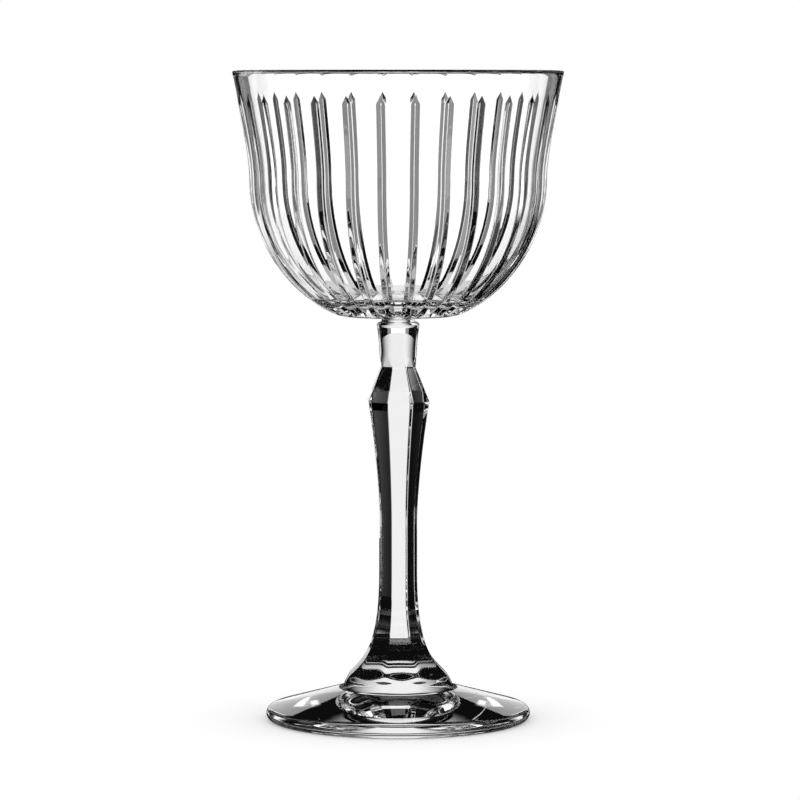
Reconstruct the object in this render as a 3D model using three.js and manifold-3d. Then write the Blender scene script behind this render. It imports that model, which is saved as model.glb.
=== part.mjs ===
// A stemmed drinking glass of clear pressed glass: a fluted bowl on a small button of glass,
// an eight-sided stem with a knop, and a round foot. Millimetres, +Z up, with the origin at
// the middle of the plane that the foot rests on.
import * as THREE from 'three';
import { mergeVertices } from 'three/addons/utils/BufferGeometryUtils.js';
import Module from 'manifold-3d';

// Foot
const FOOT_RADIUS = 32;
const FOOT_EDGE_ROUND = 1.6;
const FOOT_SEAT_HEIGHT = 7.75;
const REST_RING_WIDTH = 4;
const UNDERSIDE_RISE = 0.7;

// Stem: the lengths of its stretches from the foot up
const FLARE_LENGTH = 28.5;
const WAIST_LENGTH = 11;
const TAPER_LENGTH = 30.2;
const SHOULDER_LENGTH = 8.2;
const NECK_LENGTH = 11;

// Stem: half widths across its flats, and the radii of its round stretches
const STEM_SIDES = 8;
const STEM_TURN_DEGREES = 1.5;
const FLARE_RADIUS = 14.4;
const FLARE_LIP = 0.4;
const WAIST_HALF_FLATS = 4.48;
const KNOP_HALF_FLATS = 7.37;
const KNOP_BLANK_RADIUS = 8.4;
const NECK_HALF_FLATS = 4.12;
const NECK_RADIUS = 4.47;
const NECK_TOP_RADIUS = 5.2;
const NECK_TOP_ROUND = 0.95;

// Merese, the button of glass between the stem and the bowl
const MERESE_HOLLOW = 0.3;
const MERESE_HEIGHT = 1.35;

// Bowl: a ball-shaped lower part that opens into a flared wall
const BOWL_RADIUS = 36;
const BOWL_BASE_RADIUS = 14.4;
const WALL_RISE = 26;
const RIM_RADIUS = 40;
const WALL_THICKNESS = 1.5;
const RIM_THICKNESS = 1.4;
const FLOOR_THICKNESS = 4.1;
const FLOOR_DOME = 0.4;
const FLOOR_FILLET = 8;

// Flutes: V grooves pressed down the outside of the bowl, with pointed tips
const FLUTE_COUNT = 30;
const FLUTE_WIDTH = 2.2;
const FLUTE_DEPTH = 0.55;
const FLUTE_TOP_DROP = 5.6;
const FLUTE_TIP_LENGTH = 2;
const FLUTE_BASE_GAP = 2.8;
const FLUTE_END_LENGTH = 2.6;
const FLUTE_POINT = 0.08;

// Facets that stand for the round forms
const FLUTE_COLUMNS = 4;
const FLUTE_ROWS = 11;
const BOWL_SEGMENTS = FLUTE_COLUMNS * FLUTE_COUNT;
const STEM_SEGMENTS = 48;
const MERESE_SEGMENTS = 32;
const FOOT_SEGMENTS = 72;

const QUARTER_TURN = Math.PI / 2;
const wasm = await Module();
wasm.setup();

// A point of a profile: its distance from the axis and its height
function at(radius, height) {
  return new THREE.Vector2(radius, height);
}

function between(start, end, share) {
  return start + (end - start) * share;
}

// A circular arc of a profile
function arc(centre, radius, from, to) {
  return new THREE.EllipseCurve(centre.x, centre.y, radius, radius, from, to, to < from);
}

// Turns a profile that starts and ends on the axis into a body round Z
function revolve(profile, segments, turn = 0) {
  return new THREE.LatheGeometry(profile, segments, turn).rotateX(QUARTER_TURN);
}

function solidOf(geometry) {
  const bare = geometry.clone();
  bare.deleteAttribute('normal');
  bare.deleteAttribute('uv');
  const merged = mergeVertices(bare);
  const vertProperties = Float32Array.from(merged.attributes.position.array);
  const triVerts = Uint32Array.from(merged.index.array);
  return new wasm.Manifold(new wasm.Mesh({ numProp: 3, vertProperties, triVerts }));
}

function geometryOf(solid) {
  const mesh = solid.getMesh();
  const geometry = new THREE.BufferGeometry();
  geometry.setAttribute('position', new THREE.BufferAttribute(mesh.vertProperties, 3));
  geometry.setIndex(new THREE.BufferAttribute(mesh.triVerts, 1));
  geometry.computeVertexNormals();
  return geometry;
}

function glassPiece(name, geometry, height) {
  const glass = new THREE.MeshStandardMaterial({ color: 0xf4f8f7, roughness: 0.03, metalness: 0 });
  const mesh = new THREE.Mesh(geometry, glass);
  mesh.name = name;
  mesh.position.z = height;
  return mesh;
}

// The foot: a hollowed underside, a flat ring to rest on, a rounded edge that the sloping top
// leaves without a step, and the level seat of the stem
function footGeometry() {
  const edgeCentre = at(FOOT_RADIUS - FOOT_EDGE_ROUND, FOOT_EDGE_ROUND);
  const seat = at(FLARE_RADIUS, FOOT_SEAT_HEIGHT);
  const toEdge = edgeCentre.clone().sub(seat);
  const slope = Math.atan2(toEdge.y, toEdge.x) + Math.asin(FOOT_EDGE_ROUND / toEdge.length());
  const restInner = edgeCentre.x - REST_RING_WIDTH;
  const hollowRadius = (restInner ** 2 + UNDERSIDE_RISE ** 2) / (2 * UNDERSIDE_RISE);
  const hollowCentre = at(0, UNDERSIDE_RISE - hollowRadius);
  const hollowReach = Math.asin(restInner / hollowRadius);
  const hollow = arc(hollowCentre, hollowRadius, QUARTER_TURN, QUARTER_TURN - hollowReach);
  const edge = arc(edgeCentre, FOOT_EDGE_ROUND, -QUARTER_TURN, slope + QUARTER_TURN);
  const profile = [at(0, UNDERSIDE_RISE), ...hollow.getPoints(6).slice(1, -1), at(restInner, 0),
    ...edge.getPoints(8), seat, at(0, FOOT_SEAT_HEIGHT)];
  return revolve(profile, FOOT_SEGMENTS);
}

// The heights of the stem's stretches above the foot's seat
const waistLow = FLARE_LENGTH;
const waistHigh = waistLow + WAIST_LENGTH;
const knopHeight = waistHigh + TAPER_LENGTH;
const neckLow = knopHeight + SHOULDER_LENGTH;
const stemLength = neckLow + NECK_LENGTH;

// The turned blank of the stem, round all the way up
function stemBlank() {
  const roundCentre = at(NECK_TOP_RADIUS - NECK_TOP_ROUND, stemLength - NECK_TOP_ROUND);
  const neck = new THREE.QuadraticBezierCurve(at(NECK_RADIUS, neckLow),
    at(NECK_RADIUS, between(neckLow, roundCentre.y, 0.5)), at(NECK_TOP_RADIUS, roundCentre.y));
  const topRound = arc(roundCentre, NECK_TOP_ROUND, 0, QUARTER_TURN);
  const profile = [at(0, 0), at(FLARE_RADIUS, 0), at(FLARE_RADIUS, FLARE_LIP),
    at(KNOP_BLANK_RADIUS, knopHeight), ...neck.getPoints(5), ...topRound.getPoints(4).slice(1, -1),
    at(roundCentre.x, stemLength), at(0, stemLength)];
  return revolve(profile, STEM_SEGMENTS, THREE.MathUtils.degToRad(STEM_TURN_DEGREES));
}

// The eight-sided form that cuts the flats into the blank. The flats bite into the foot of the
// round neck, so that they end there in shallow scallops, and stand clear of it above.
function stemFlats() {
  const flare = new THREE.CubicBezierCurve(at(FLARE_RADIUS, 0),
    at(between(WAIST_HALF_FLATS, FLARE_RADIUS, 0.6), 0.25 * FLARE_LENGTH),
    at(WAIST_HALF_FLATS, 0.14 * FLARE_LENGTH), at(WAIST_HALF_FLATS, waistLow));
  const taper = new THREE.CubicBezierCurve(at(WAIST_HALF_FLATS, waistHigh),
    at(WAIST_HALF_FLATS, between(waistHigh, knopHeight, 0.27)),
    at(between(WAIST_HALF_FLATS, KNOP_HALF_FLATS, 0.45), between(waistHigh, knopHeight, 0.67)),
    at(KNOP_HALF_FLATS, knopHeight));
  const clear = KNOP_BLANK_RADIUS + NECK_TOP_RADIUS;
  const halfFlats = [at(0, 0), ...flare.getPoints(14), ...taper.getPoints(8),
    at(NECK_HALF_FLATS, neckLow), at(clear, neckLow + NECK_LENGTH / 2), at(clear, stemLength),
    at(0, stemLength)];
  const toCorner = 1 / Math.cos(Math.PI / STEM_SIDES);
  const corners = halfFlats.map((point) => at(point.x * toCorner, point.y));
  const turn = Math.PI / STEM_SIDES + THREE.MathUtils.degToRad(STEM_TURN_DEGREES);
  return revolve(corners, STEM_SIDES, turn);
}

function stemGeometry() {
  return geometryOf(solidOf(stemBlank()).intersect(solidOf(stemFlats())));
}

// The merese covers the level top of the neck and is drawn in at half its height
function mereseGeometry() {
  const radius = NECK_TOP_RADIUS - NECK_TOP_ROUND;
  const side = new THREE.QuadraticBezierCurve(at(radius, 0),
    at(radius - 2 * MERESE_HOLLOW, MERESE_HEIGHT / 2), at(radius, MERESE_HEIGHT));
  return revolve([at(0, 0), ...side.getPoints(6), at(0, MERESE_HEIGHT)], MERESE_SEGMENTS);
}

// Heights in the bowl above its base
const ballCentre = at(0, Math.sqrt(BOWL_RADIUS ** 2 - BOWL_BASE_RADIUS ** 2));
const bowlHeight = ballCentre.y + WALL_RISE;
const rimRound = RIM_THICKNESS / 2;
const rimCentre = at(RIM_RADIUS - rimRound, bowlHeight - rimRound);

// The flared wall above the ball, drawn inwards by a given amount at its foot and at the rim
function flaredWall(footInset, rimInset) {
  const foot = at(BOWL_RADIUS - footInset, ballCentre.y);
  const rim = at(RIM_RADIUS - rimInset, rimCentre.y);
  return new THREE.CubicBezierCurve(foot, at(foot.x, between(foot.y, rim.y, 0.24)),
    at(between(foot.x, rim.x, 0.65), between(foot.y, rim.y, 0.7)), rim);
}

// The outside of the bowl from the edge of its base to the rim
function outerWall() {
  const path = new THREE.CurvePath();
  path.add(arc(ballCentre, BOWL_RADIUS, -Math.asin(ballCentre.y / BOWL_RADIUS), 0));
  path.add(flaredWall(0, 0));
  return path;
}

// How far along the wall a given height is reached
function distanceToHeight(path, height) {
  const length = path.getLength();
  let low = 0;
  let high = length;
  for (let halving = 0; halving < 40; halving += 1) {
    const middle = (low + high) / 2;
    if (path.getPoint(middle / length).y < height) low = middle;
    else high = middle;
  }
  return low;
}

// Rows of the outside, from the base up: the point on the wall, the way out of the glass there
// and how much of a flute's full depth the row has, with the flutes running out at both ends
function outerRows() {
  const path = outerWall();
  const length = path.getLength();
  const endRadius = BOWL_BASE_RADIUS + FLUTE_BASE_GAP;
  const endHeight = ballCentre.y - Math.sqrt(BOWL_RADIUS ** 2 - endRadius ** 2);
  const end = distanceToHeight(path, endHeight);
  const tip = distanceToHeight(path, bowlHeight - FLUTE_TOP_DROP);
  const distances = [0, end];
  for (let row = 0; row <= FLUTE_ROWS; row += 1) {
    distances.push(between(end + FLUTE_END_LENGTH, tip - FLUTE_TIP_LENGTH, row / FLUTE_ROWS));
  }
  distances.push(tip, between(tip, length, 0.5), length);
  return distances.map((distance) => {
    const tangent = path.getTangent(distance / length);
    const toEnd = (distance - end) / FLUTE_END_LENGTH;
    const toTip = (tip - distance) / FLUTE_TIP_LENGTH;
    return {
      point: path.getPoint(distance / length),
      outward: at(tangent.y, -tangent.x),
      fluted: distance >= end && distance <= tip,
      depthShare: Math.min(toEnd, toTip, 1),
    };
  });
}

// The rest of the bowl's profile: over the rim, down the inside and in over the low dome of the
// floor
function innerProfile() {
  const rim = arc(rimCentre, rimRound, 0, Math.PI);
  const wall = flaredWall(WALL_THICKNESS, RIM_THICKNESS).getPoints(4).reverse();
  const innerRadius = BOWL_RADIUS - WALL_THICKNESS;
  const filletDrop = ballCentre.y - FLOOR_THICKNESS - FLOOR_FILLET;
  const filletReach = innerRadius - FLOOR_FILLET;
  const filletStart = -Math.asin(filletDrop / filletReach);
  const filletCentre = at(filletReach * Math.cos(filletStart), FLOOR_THICKNESS + FLOOR_FILLET);
  const ball = arc(ballCentre, innerRadius, 0, filletStart);
  const fillet = arc(filletCentre, FLOOR_FILLET, filletStart, -QUARTER_TURN);
  const domeTop = FLOOR_THICKNESS + FLOOR_DOME;
  const dome = new THREE.QuadraticBezierCurve(at(filletCentre.x, FLOOR_THICKNESS),
    at(filletCentre.x / 2, domeTop), at(0, domeTop));
  return [...rim.getPoints(5).slice(1), ...wall.slice(1), ...ball.getPoints(5).slice(1),
    ...fillet.getPoints(4).slice(1, -1), ...dome.getPoints(3)];
}

// Presses the flutes into the turned bowl. Each flute takes four columns of points: the middle of
// the panel beside it, its near edge, its floor and its far edge.
function pressFlutes(geometry, rows, profileLength) {
  const positions = geometry.attributes.position;
  const pitch = (2 * Math.PI) / FLUTE_COUNT;
  for (let column = 0; column <= BOWL_SEGMENTS; column += 1) {
    const role = column % FLUTE_COLUMNS;
    const floorAngle = (Math.floor(column / FLUTE_COLUMNS) + 0.5) * pitch;
    rows.forEach((row, index) => {
      if (!row.fluted || role === 0) return;
      const halfWidth = Math.max((FLUTE_WIDTH / 2) * row.depthShare, FLUTE_POINT);
      const angle = floorAngle + ((role - 2) * halfWidth) / row.point.x;
      const depth = role === 2 ? FLUTE_DEPTH * row.depthShare : 0;
      const pressed = row.point.clone().addScaledVector(row.outward, -depth);
      const vertex = column * profileLength + index + 1;
      positions.setXYZ(vertex, pressed.x * Math.sin(angle), -pressed.x * Math.cos(angle), pressed.y);
    });
  }
  return geometry;
}

function bowlGeometry() {
  const rows = outerRows();
  const profile = [at(0, 0), ...rows.map((row) => row.point), ...innerProfile()];
  return pressFlutes(revolve(profile, BOWL_SEGMENTS), rows, profile.length);
}

const mereseHeight = FOOT_SEAT_HEIGHT + stemLength;
const glass = new THREE.Group();
glass.add(glassPiece('foot', footGeometry(), 0));
glass.add(glassPiece('stem', stemGeometry(), FOOT_SEAT_HEIGHT));
glass.add(glassPiece('merese', mereseGeometry(), mereseHeight));
glass.add(glassPiece('bowl', bowlGeometry(), mereseHeight + MERESE_HEIGHT));

export default glass;
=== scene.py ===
# %% [markdown]
# # A stemmed glass in clear pressed glass
# The object is a small stemmed drinking glass: a round bowl with thirty upright V flutes, a
# button of glass under it that glassmakers call a merese, an eight-sided stem with a knop,
# and a round foot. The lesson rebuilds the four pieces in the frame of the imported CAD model,
# so that every piece stands where its CAD node stands. Loading the frame comes first.

# %% Load the frame
import math

import bmesh
import bpy
import numpy as np
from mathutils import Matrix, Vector


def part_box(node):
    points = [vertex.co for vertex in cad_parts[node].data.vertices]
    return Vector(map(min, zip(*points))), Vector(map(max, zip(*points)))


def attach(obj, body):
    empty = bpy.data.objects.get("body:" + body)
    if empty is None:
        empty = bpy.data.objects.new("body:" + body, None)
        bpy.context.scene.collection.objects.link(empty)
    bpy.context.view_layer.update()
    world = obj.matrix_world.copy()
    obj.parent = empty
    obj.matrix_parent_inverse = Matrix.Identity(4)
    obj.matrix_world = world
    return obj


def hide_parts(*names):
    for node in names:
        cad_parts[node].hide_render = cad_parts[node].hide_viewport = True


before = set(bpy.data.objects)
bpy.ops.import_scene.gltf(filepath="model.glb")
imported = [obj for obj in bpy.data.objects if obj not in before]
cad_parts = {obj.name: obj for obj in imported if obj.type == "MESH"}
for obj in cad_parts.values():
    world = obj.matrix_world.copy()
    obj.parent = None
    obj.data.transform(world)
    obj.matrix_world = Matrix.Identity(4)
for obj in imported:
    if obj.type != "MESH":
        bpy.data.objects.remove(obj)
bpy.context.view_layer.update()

# %% [markdown]
# ## Sizes
# On the real glass the pieces are fused where they touch, so their heights have to agree to
# the last hair. Typing the heights again would be one way, but reading them from the boxes of
# the CAD nodes is safer: if the CAD changes, this lesson follows it.

# %% Read the main sizes from the frame
MM = 0.001
foot_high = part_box("foot")[1]
stem_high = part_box("stem")[1]
merese_low, merese_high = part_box("merese")
bowl_low, bowl_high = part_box("bowl")

foot_radius = foot_high[0]
seat_height = foot_high[2]
stem_top = stem_high[2]
bowl_base = bowl_low[2]
rim_top = bowl_high[2]
rim_radius = bowl_high[0]
print(f"seat {seat_height / MM:.2f} mm, bowl base {bowl_base / MM:.2f} mm, rim {rim_top / MM:.2f} mm")
print(f"the merese is {(merese_high[2] - merese_low[2]) / MM:.2f} mm high")

# %% [markdown]
# ## Drawing profiles
# Everything on a pressed glass starts as a turned shape, so each piece is drawn as a profile:
# a list of distances from the axis and heights. Two small helpers draw it, one a circular arc
# and one a free bend between two ends with two handles that pull it, and two more find a place
# between two values and the length along a profile. Blender's own curve objects could do it
# too, but plain lists are easier to measure and to cut into rows.

# %% Helpers for profiles
ONE_THIRD = 0.33
TWO_THIRDS = 0.67


def arc(centre, radius, start, end, steps):
    angles = np.radians(np.linspace(start, end, steps + 1))
    return [(centre[0] + radius * math.cos(a), centre[1] + radius * math.sin(a)) for a in angles]


def bend(start, start_handle, end_handle, end, steps):
    points = [np.array(p) for p in (start, start_handle, end_handle, end)]
    drawn = []
    for t in np.linspace(0, 1, steps + 1):
        weights = ((1 - t) ** 3, 3 * t * (1 - t) ** 2, 3 * t ** 2 * (1 - t), t ** 3)
        drawn.append(tuple(sum(w * p for w, p in zip(weights, points))))
    return drawn


def between(start, end, share):
    return start + (end - start) * share


def along(profile):
    steps = np.linalg.norm(np.diff(np.array(profile), axis=0), axis=1)
    return np.concatenate([[0], np.cumsum(steps)])


print("a quarter circle of 1 mm is", round(along(arc((0, 0), 1, 0, 90, 64))[-1], 3), "mm long")

# %% [markdown]
# ## Helpers for node trees
# Geometry Nodes and shader nodes are both built from nodes, sockets and links. Writing each
# link by hand hides the idea, so one helper adds a node with its settings and inputs, and
# another adds a Math node and hands back its result, which lets a formula be read as one. Two
# more build on them: the long side of a right triangle, and a soft step between two limits.

# %% Helpers for nodes
def add_node(tree, kind, inputs=None, **settings):
    made = tree.nodes.new(kind)
    for name, value in settings.items():
        setattr(made, name, value)
    for name, value in (inputs or {}).items():
        if isinstance(value, bpy.types.NodeSocket):
            tree.links.new(value, made.inputs[name])
        else:
            made.inputs[name].default_value = value
    return made


def calc(tree, operation, *values):
    made = add_node(tree, "ShaderNodeMath", dict(enumerate(values)), operation=operation)
    return made.outputs[0]


def long_side(tree, first, second):
    squares = calc(tree, "ADD", calc(tree, "POWER", first, 2.0), calc(tree, "POWER", second, 2.0))
    return calc(tree, "SQRT", squares)


def shade(tree, value, limits):
    made = add_node(tree, "ShaderNodeMapRange",
                    {"Value": value, "From Min": limits[0], "From Max": limits[1]},
                    interpolation_type="SMOOTHSTEP")
    return made.outputs["Result"]


def new_socket(tree, name, kind, direction="INPUT", value=None):
    socket = tree.interface.new_socket(name, in_out=direction, socket_type="NodeSocket" + kind)
    if value is not None:
        socket.default_value = value


print("node helpers ready")

# %% [markdown]
# ## Helpers for objects and materials
# Four short steps come back with every piece: a finished bmesh turns into a mesh, a mesh into an
# object in the scene, a new material shows its nodes, and two shaders are mixed on a surface.

# %% Helpers for objects and materials
def add_mesh(name, shape):
    mesh = bpy.data.meshes.new(name)
    shape.to_mesh(mesh)
    shape.free()
    return mesh


def add_object(name, data):
    made = bpy.data.objects.new(name, data)
    bpy.context.scene.collection.objects.link(made)
    return made


def add_material(name):
    material = bpy.data.materials.new(name)
    material.use_nodes = True
    return material, material.node_tree


def show_mix(tree, share, first, second):
    mixed = add_node(tree, "ShaderNodeMixShader",
                     {0: share, 1: first.outputs[0], 2: second.outputs[0]})
    tree.links.new(mixed.outputs[0], tree.nodes["Material Output"].inputs["Surface"])


print("object and material helpers ready")

# %% [markdown]
# ## The finish: fire-polished glass
# Pressed glass leaves its mould with a faint ripple and is then passed through a flame, which
# melts the skin smooth. What is left is a very shallow waviness and hardly any haze. A bump
# from a noise on Object coordinates gives that. Bowl, stem and foot ripple differently, so
# the effect is one shader node group with named inputs that each material places with its own
# values.

# %% The node group for the fire-polished skin
RIPPLE_DETAIL = 1.0
FILM_SCALE = 90.0
FILM_DETAIL = 3.0
FILM_CLEAR = 0.45


def make_fire_polish():
    tree = bpy.data.node_groups.new("fire_polish", "ShaderNodeTree")
    new_socket(tree, "Ripple Size", "Float", value=4 * MM)
    new_socket(tree, "Haze", "Float", value=0.01)
    new_socket(tree, "Height", "Float", "OUTPUT")
    new_socket(tree, "Roughness", "Float", "OUTPUT")
    given = add_node(tree, "NodeGroupInput").outputs
    place = add_node(tree, "ShaderNodeTexCoord").outputs["Object"]
    scale = calc(tree, "DIVIDE", 1.0, given["Ripple Size"])
    ripple = add_node(tree, "ShaderNodeTexNoise",
                      {"Vector": place, "Scale": scale, "Detail": RIPPLE_DETAIL})
    film = add_node(tree, "ShaderNodeTexNoise",
                    {"Vector": place, "Scale": FILM_SCALE, "Detail": FILM_DETAIL})
    hazy = calc(tree, "SUBTRACT", film.outputs["Fac"], FILM_CLEAR)
    roughness = calc(tree, "MAXIMUM", calc(tree, "MULTIPLY", hazy, given["Haze"]), 0.0)
    add_node(tree, "NodeGroupOutput", {"Height": ripple.outputs["Fac"], "Roughness": roughness})
    return tree


fire_polish = make_fire_polish()
print("node group", fire_polish.name, "with", len(fire_polish.nodes), "nodes")

# %% [markdown]
# ## The glass itself
# Clear soda glass bends light with an index of about 1.5 and has the faintest green-grey
# tint. The Principled shader with full transmission gives this. Where two pieces are fused
# there is no surface to see, so their touching faces take a second material that lets every
# ray straight through. Leaving the faces out would look the same, but then the pieces
# would not be closed.

# %% Materials of the glass
GLASS_INDEX = 1.5
GLASS_TINT = (0.998, 1.0, 0.999, 1)


def make_glass(name, ripple_size, ripple_depth, haze):
    material, tree = add_material(name)
    shader = tree.nodes["Principled BSDF"]
    shader.inputs["Base Color"].default_value = GLASS_TINT
    shader.inputs["Transmission Weight"].default_value = 1.0
    shader.inputs["IOR"].default_value = GLASS_INDEX
    skin = add_node(tree, "ShaderNodeGroup", node_tree=fire_polish)
    skin.inputs["Ripple Size"].default_value = ripple_size
    skin.inputs["Haze"].default_value = haze
    bump = add_node(tree, "ShaderNodeBump", {"Height": skin.outputs["Height"], "Strength": 1.0})
    bump.inputs["Distance"].default_value = ripple_depth
    tree.links.new(skin.outputs["Roughness"], shader.inputs["Roughness"])
    tree.links.new(bump.outputs["Normal"], shader.inputs["Normal"])
    return material


def make_joint():
    material, tree = add_material("fused_joint")
    tree.nodes["Principled BSDF"].inputs["Alpha"].default_value = 0.0
    return material


bowl_glass = make_glass("bowl_glass", ripple_size=9 * MM, ripple_depth=0.004 * MM, haze=0.02)
stem_glass = make_glass("stem_glass", ripple_size=6 * MM, ripple_depth=0.006 * MM, haze=0.02)
foot_glass = make_glass("foot_glass", ripple_size=8 * MM, ripple_depth=0.006 * MM, haze=0.03)
fused_joint = make_joint()
print("materials:", [m.name for m in (bowl_glass, stem_glass, foot_glass, fused_joint)])

# %% [markdown]
# ## The bowl's profile
# The lower part of the bowl is a ball, and above its widest level the wall flares to a rounded
# rim. The ball ends below in the flat base that sits on the merese. The flare is a bend: its
# lower handle keeps the wall upright where it leaves the ball, and its upper one turns it out.

# %% Draw the bowl's profile
BOWL_RADIUS = 36 * MM
BASE_RADIUS = 14.4 * MM
JOINT_RADIUS = 4.25 * MM
RIM_THICKNESS = 1.4 * MM
WALL_THICKNESS = 1.5 * MM
FLOOR_THICKNESS = 4.1 * MM
FLOOR_FILLET = 8 * MM
FLOOR_DOME = 0.4 * MM
UPRIGHT_SHARE = 0.24
TURN_OUT_SHARES = (0.65, 0.7)
BALL_STEPS = 400
FLARE_STEPS = 300

ball_centre = (0, bowl_base + math.sqrt(BOWL_RADIUS ** 2 - BASE_RADIUS ** 2))
rim_round = RIM_THICKNESS / 2
rim_centre = (rim_radius - rim_round, rim_top - rim_round)


def flared_wall(foot_inset, rim_inset, steps):
    low = (BOWL_RADIUS - foot_inset, ball_centre[1])
    high = (rim_radius - rim_inset, rim_centre[1])
    upright = (low[0], between(low[1], high[1], UPRIGHT_SHARE))
    turned_out = tuple(between(low[k], high[k], TURN_OUT_SHARES[k]) for k in (0, 1))
    return bend(low, upright, turned_out, high, steps)


base_angle = math.degrees(math.asin((ball_centre[1] - bowl_base) / BOWL_RADIUS))
ball = arc(ball_centre, BOWL_RADIUS, -base_angle, 0, BALL_STEPS)
outside = ball + flared_wall(0, 0, FLARE_STEPS)[1:]
outside_length = along(outside)[-1]
print(f"the outside of the bowl is {outside_length / MM:.1f} mm long from base to rim")

# %% [markdown]
# ## Rows of the fluted wall
# The outside carries the flutes, so it is cut into rows: each row knows its point on the wall,
# the way out of the glass there, how deep a flute is there and how far it spreads. The rows
# lie close together where the shape changes fast, at the tips and ends of the flutes, and
# further apart elsewhere. The flutes run out above the base and end in a point below the rim.

# %% Cut the fluted wall into rows
FLUTES = 30
FLUTE_WIDTH = 2.2 * MM
FLUTE_DEPTH = 0.55 * MM
FLUTE_TOP_DROP = 5.6 * MM
FLUTE_TIP = 2 * MM
FLUTE_BASE_GAP = 0.9 * MM
FLUTE_END = 1.6 * MM
FLUTE_POINT = 0.08 * MM
EDGE_REACH = 1.5
BASE_ROUND = 1 * MM
BASE_ROWS, END_ROWS, FLUTE_ROWS, TIP_ROWS, RIM_ROWS = 2, 8, 42, 9, 6


def distance_where(column, value):
    return float(np.interp(value, np.array(outside)[:, column], along(outside)))


end_at = distance_where(0, BASE_RADIUS + FLUTE_BASE_GAP)
tip_at = distance_where(1, rim_top - FLUTE_TOP_DROP)
stops = np.concatenate([
    np.linspace(BASE_ROUND, end_at, BASE_ROWS, endpoint=False),
    np.linspace(end_at, end_at + FLUTE_END, END_ROWS, endpoint=False),
    np.linspace(end_at + FLUTE_END, tip_at - FLUTE_TIP, FLUTE_ROWS, endpoint=False),
    np.linspace(tip_at - FLUTE_TIP, tip_at, TIP_ROWS, endpoint=False),
    np.linspace(tip_at, outside_length, RIM_ROWS),
])


def outside_row(distance):
    lengths = along(outside)
    table = np.array(outside)
    point = [np.interp(distance, lengths, table[:, k]) for k in (0, 1)]
    slope = [np.interp(distance, lengths, np.gradient(table[:, k], lengths)) for k in (0, 1)]
    share = max(0.0, min((distance - end_at) / FLUTE_END, (tip_at - distance) / FLUTE_TIP, 1.0))
    half = max(FLUTE_WIDTH / 2 * share, FLUTE_POINT)
    if distance < end_at or distance > tip_at:
        half = FLUTE_POINT
    return (point, (slope[1], -slope[0]), FLUTE_DEPTH * share, EDGE_REACH * half / point[0])


wall_rows = [outside_row(s) for s in stops]
print(len(wall_rows), "rows; flutes from", round(end_at / MM, 1), "to", round(tip_at / MM, 1), "mm along")

# %% [markdown]
# ## Rows of the plain parts
# The base, the rim and the inside of the bowl are smooth, so their rows have no depth. The edge
# of the base is rounded, as the flame leaves it, and the floor inside is a shallow dome with a
# wide fillet. All rows together go once round the section of the bowl, from the middle of the
# base up the outside, over the rim and down inside to the floor.

# %% Cut the plain parts into rows
PLAIN_SHARE = 0.45
BASE_RING = 0.7
EDGE_STEPS = 8
RIM_STEPS = 10
INSIDE_STEPS = 12
FILLET_STEPS = 10
FLOOR_RINGS = (0.97, 0.9, 0.75, 0.5, 0.25, 0)
plain_spread = PLAIN_SHARE * math.pi / FLUTES


def plain_rows(points):
    return [(p, (0, 0), 0.0, plain_spread) for p in points]


def inside_points():
    radius = BOWL_RADIUS - WALL_THICKNESS
    drop = ball_centre[1] - bowl_base - FLOOR_THICKNESS - FLOOR_FILLET
    reach = radius - FLOOR_FILLET
    start = -math.degrees(math.asin(drop / reach))
    floor = bowl_base + FLOOR_THICKNESS
    centre = (reach * math.cos(math.radians(start)), floor + FLOOR_FILLET)
    return (arc(rim_centre, rim_round, 0, 180, RIM_STEPS)[1:]
            + flared_wall(WALL_THICKNESS, RIM_THICKNESS, INSIDE_STEPS)[::-1][1:]
            + arc(ball_centre, radius, 0, start, INSIDE_STEPS)[1:]
            + arc(centre, FLOOR_FILLET, start, -90, FILLET_STEPS)[1:]
            + [(centre[0] * s, floor + FLOOR_DOME * (1 - s * s)) for s in FLOOR_RINGS])


def base_points():
    edge = outside_row(BASE_ROUND)[0]
    rounding = bend((BASE_RADIUS - BASE_ROUND, bowl_base), (BASE_RADIUS - BASE_ROUND / 3, bowl_base),
                    (between(BASE_RADIUS, edge[0], ONE_THIRD), between(bowl_base, edge[1], ONE_THIRD)),
                    edge, EDGE_STEPS)
    flat = [(0, bowl_base), (JOINT_RADIUS, bowl_base), (BASE_RADIUS * BASE_RING, bowl_base)]
    return flat + rounding[:-1]


bowl_rows = plain_rows(base_points()) + wall_rows + plain_rows(inside_points())
print(len(bowl_rows), "rows round the section of the bowl")

# %% [markdown]
# ## Flutes by Geometry Nodes
# In the mould each flute is a ridge of iron that presses a V groove into the soft glass. The
# thirty grooves could be cut with booleans, but that leaves slivers and hard edges. Here a
# flat grid is wrapped round the axis instead: one direction of the grid follows the rows and
# the other goes round, and a formula sinks each point by the depth of the V, with a small
# radius at its floor and at its edges as the flame leaves them.

# %% Helpers that read the rows and wrap the grid
MERGE_WITHIN = 1e-6


def sampled(tree, rail, value, row, kind):
    return add_node(tree, "GeometryNodeSampleIndex",
                    {"Geometry": rail, "Value": value, "Index": row},
                    data_type=kind, domain="POINT").outputs["Value"]


def row_value(tree, rail, row, name):
    named = add_node(tree, "GeometryNodeInputNamedAttribute", {"Name": name}, data_type="FLOAT")
    return sampled(tree, rail, named.outputs["Attribute"], row, "FLOAT")


def row_point(tree, rail, row):
    position = add_node(tree, "GeometryNodeInputPosition").outputs[0]
    point = sampled(tree, rail, position, row, "FLOAT_VECTOR")
    return add_node(tree, "ShaderNodeSeparateXYZ", {0: point}).outputs


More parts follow.
